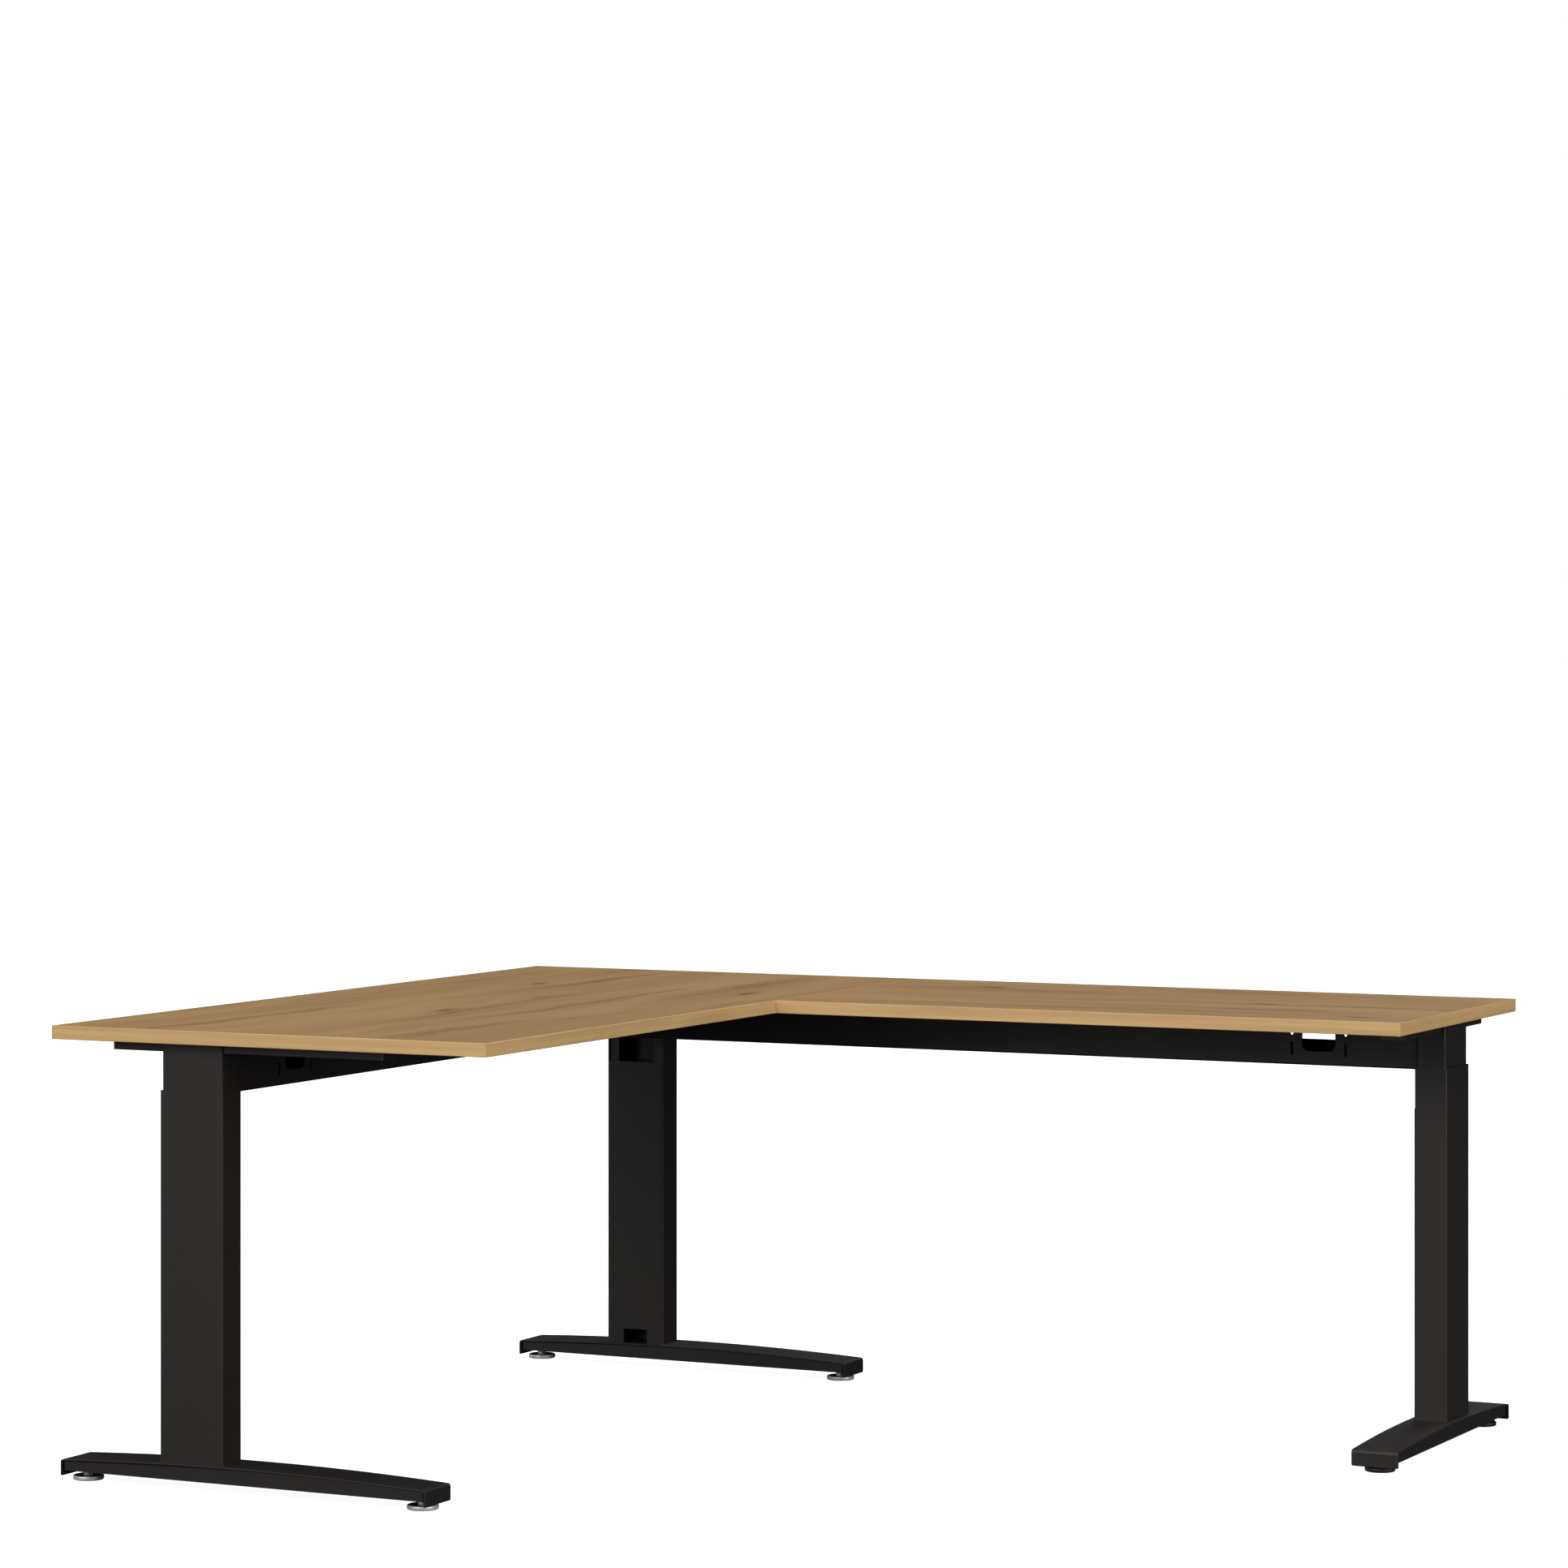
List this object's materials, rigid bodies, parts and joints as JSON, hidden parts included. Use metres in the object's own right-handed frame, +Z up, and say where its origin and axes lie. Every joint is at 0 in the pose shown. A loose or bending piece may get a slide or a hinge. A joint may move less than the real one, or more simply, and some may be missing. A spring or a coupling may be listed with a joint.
{
  "type": "corner desk",
  "caption": "L-shaped corner desk with oak-look boards on black T-foot legs with telescoping columns, cable troughs and round levelling pads.",
  "frame": {"origin": "on the floor under the middle of the desk's bounding box", "axes": "+Z up, X along the return desk with the main desk at -X, Y along the main desk with the return desk at +Y"},
  "size_m": [1.925, 1.6, 0.732],
  "materials": {
    "oak_top": "oak-grain laminate, satin, warm mid brown with darker streaks",
    "oak_edge": "oak-print edging, satin, a little lighter than the boards",
    "black_powder_coat": "black powder coat, fine texture, satin",
    "chrome": "bright chrome plate",
    "zinc_steel": "zinc-plated steel",
    "black_plastic": "black moulded plastic"
  },
  "bodies": {
    "main_base": {"main_leg_outer_column": "black_powder_coat", "main_leg_glides": "black_plastic", "main_leg_lock_screws": "zinc_steel", "main_leg_foot_cover": "black_powder_coat", "main_leg_foot_rail": "black_powder_coat", "main_leg_foot_inserts": "zinc_steel"},
    "desk_top": {"main_board": "oak_top", "return_board": "oak_top", "main_edge_bands": "oak_edge", "return_edge_bands": "oak_edge", "seam_plates": "black_powder_coat", "seam_screws": "zinc_steel", "main_traverse": "black_powder_coat", "return_traverse": "black_powder_coat", "main_end_plates": "black_powder_coat", "return_end_plates": "black_powder_coat", "traverse_bolts": "zinc_steel", "main_leg_inner_column": "black_powder_coat", "main_leg_top_bar": "black_powder_coat", "main_leg_bar_caps": "black_plastic", "main_leg_board_screws": "zinc_steel", "corner_leg_inner_column": "black_powder_coat", "corner_leg_top_bar": "black_powder_coat", "corner_leg_bar_caps": "black_plastic", "corner_leg_board_screws": "zinc_steel", "return_leg_inner_column": "black_powder_coat", "return_leg_top_bar": "black_powder_coat", "return_leg_bar_caps": "black_plastic", "return_leg_board_screws": "zinc_steel"},
    "corner_base": {"corner_leg_outer_column": "black_powder_coat", "corner_leg_glides": "black_plastic", "corner_leg_lock_screws": "zinc_steel", "corner_leg_foot_cover": "black_powder_coat", "corner_leg_foot_rail": "black_powder_coat", "corner_leg_foot_inserts": "zinc_steel"},
    "return_base": {"return_leg_outer_column": "black_powder_coat", "return_leg_glides": "black_plastic", "return_leg_lock_screws": "zinc_steel", "return_leg_foot_cover": "black_powder_coat", "return_leg_foot_rail": "black_powder_coat", "return_leg_foot_inserts": "zinc_steel"},
    "main_leg_foot_rear": {"main_leg_pad_rear": "chrome", "main_leg_stud_rear": "zinc_steel"},
    "main_leg_foot_front": {"main_leg_pad_front": "chrome", "main_leg_stud_front": "zinc_steel"},
    "corner_leg_foot_rear": {"corner_leg_pad_rear": "chrome", "corner_leg_stud_rear": "zinc_steel"},
    "corner_leg_foot_front": {"corner_leg_pad_front": "chrome", "corner_leg_stud_front": "zinc_steel"},
    "return_leg_foot_rear": {"return_leg_pad_rear": "black_powder_coat", "return_leg_stud_rear": "zinc_steel"},
    "return_leg_foot_front": {"return_leg_pad_front": "black_powder_coat", "return_leg_stud_front": "zinc_steel"}
  },
  "joints": [
    {"name": "height_adjust", "type": "slide", "parent": "main_base", "child": "desk_top", "axis": [0, 0, 1], "range_m": [-0.055, 0.085]},
    {"name": "corner_leg_height", "type": "slide", "parent": "desk_top", "child": "corner_base", "axis": [0, 0, -1], "range_m": [-0.055, 0.085]},
    {"name": "return_leg_height", "type": "slide", "parent": "desk_top", "child": "return_base", "axis": [0, 0, -1], "range_m": [-0.055, 0.085]},
    {"name": "main_leg_level_rear", "type": "slide", "parent": "main_base", "child": "main_leg_foot_rear", "axis": [0, 0, -1], "range_m": [0, 0.012]},
    {"name": "main_leg_level_front", "type": "slide", "parent": "main_base", "child": "main_leg_foot_front", "axis": [0, 0, -1], "range_m": [0, 0.012]},
    {"name": "corner_leg_level_rear", "type": "slide", "parent": "corner_base", "child": "corner_leg_foot_rear", "axis": [0, 0, -1], "range_m": [0, 0.012]},
    {"name": "corner_leg_level_front", "type": "slide", "parent": "corner_base", "child": "corner_leg_foot_front", "axis": [0, 0, -1], "range_m": [0, 0.012]},
    {"name": "return_leg_level_rear", "type": "slide", "parent": "return_base", "child": "return_leg_foot_rear", "axis": [0, 0, -1], "range_m": [0, 0.012]},
    {"name": "return_leg_level_front", "type": "slide", "parent": "return_base", "child": "return_leg_foot_front", "axis": [0, 0, -1], "range_m": [0, 0.012]}
  ],
  "couplings": [
    {"joint": "corner_leg_height", "follows": "height_adjust", "ratio": 1},
    {"joint": "return_leg_height", "follows": "height_adjust", "ratio": 1}
  ]
}
